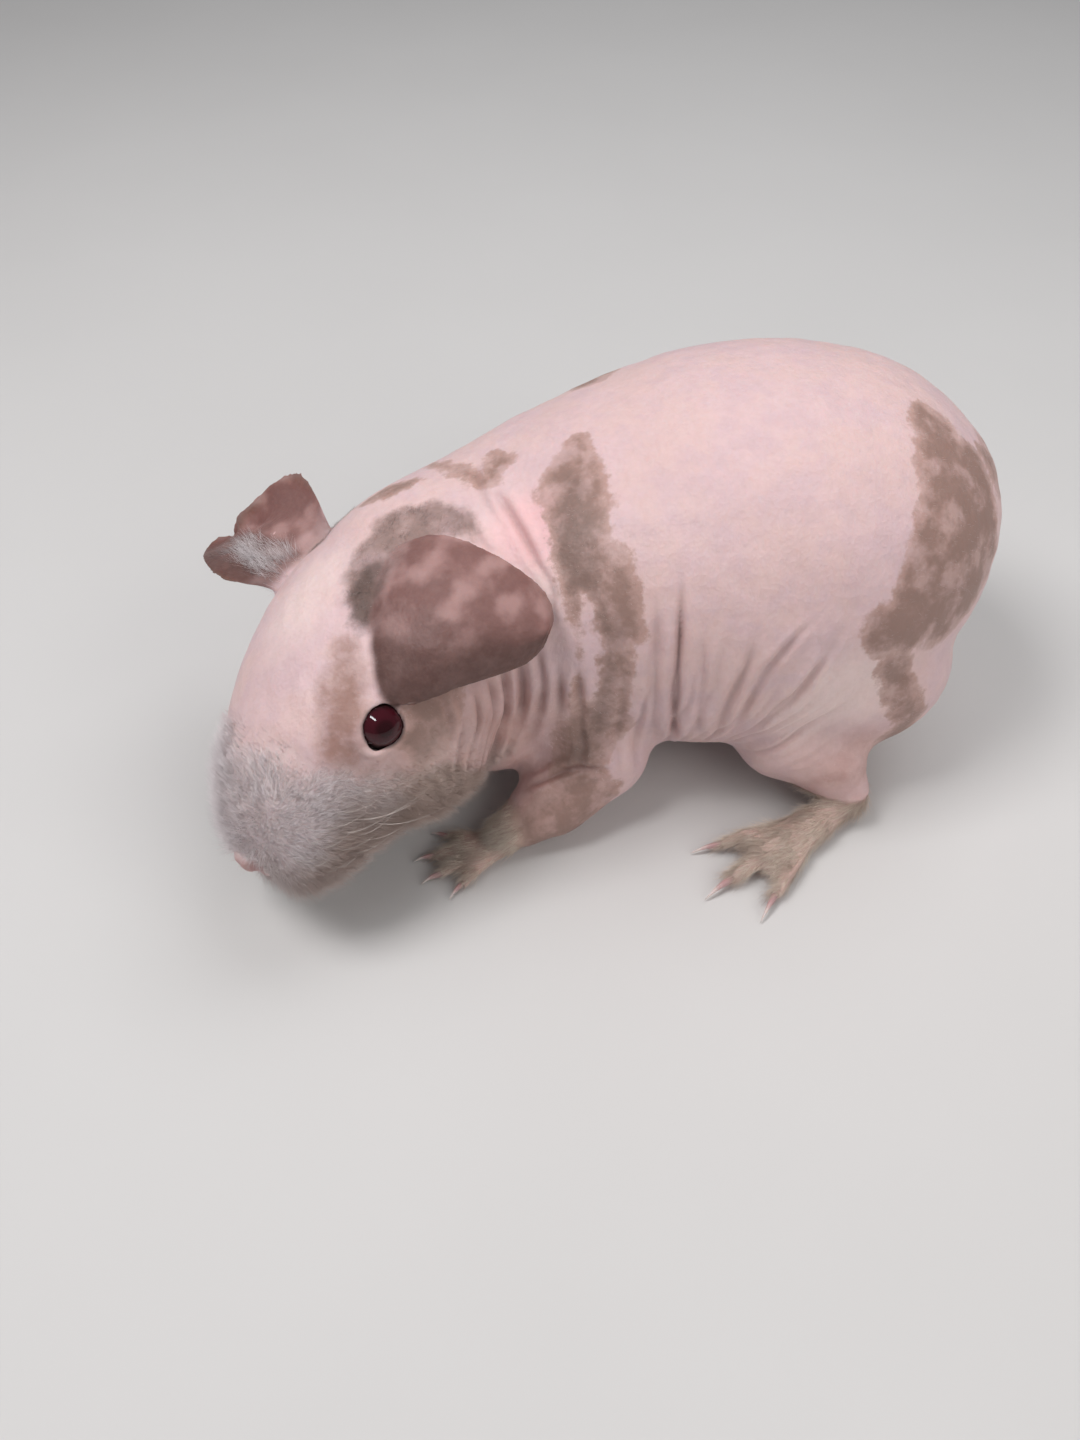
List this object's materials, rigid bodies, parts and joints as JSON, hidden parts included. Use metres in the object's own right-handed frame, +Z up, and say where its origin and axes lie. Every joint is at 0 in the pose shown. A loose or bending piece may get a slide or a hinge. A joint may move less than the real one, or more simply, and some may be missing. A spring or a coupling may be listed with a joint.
{
  "type": "skinny pig model",
  "caption": "Life-size still model of a hairless guinea pig on all fours, its head turned to its left and lowered to the ground.",
  "frame": {"origin": "on the floor, under the middle of the model's box", "axes": "+Z up, +X from head to rump along the spine, the animal's left side at -Y"},
  "size_m": [0.1712, 0.1402, 0.0889],
  "materials": {
    "skin": "bare living skin, pale pink with grey-brown patches, soft sheen",
    "ear_skin": "thin mauve-brown skin, mottled",
    "eye": "wet and glossy, very dark ruby",
    "foot_hair": "short tan hair over pink skin",
    "claw": "translucent pink horn"
  },
  "bodies": {
    "root": {"head": "skin", "neck": "skin", "torso": "skin", "ear_left": "ear_skin", "ear_right": "ear_skin", "eye_left": "eye", "eye_right": "eye", "fore_leg_left": "skin", "fore_leg_right": "skin", "hind_leg_left": "skin", "hind_leg_right": "skin", "fore_foot_left": "foot_hair", "fore_foot_right": "foot_hair", "hind_foot_left": "foot_hair", "hind_foot_right": "foot_hair", "claw_fore_left_1": "claw", "claw_fore_left_2": "claw", "claw_fore_left_3": "claw", "claw_fore_left_4": "claw", "claw_fore_right_1": "claw", "claw_fore_right_2": "claw", "claw_fore_right_3": "claw", "claw_fore_right_4": "claw", "claw_hind_left_1": "claw", "claw_hind_left_2": "claw", "claw_hind_left_3": "claw", "claw_hind_right_1": "claw", "claw_hind_right_2": "claw", "claw_hind_right_3": "claw"}
  },
  "joints": []
}
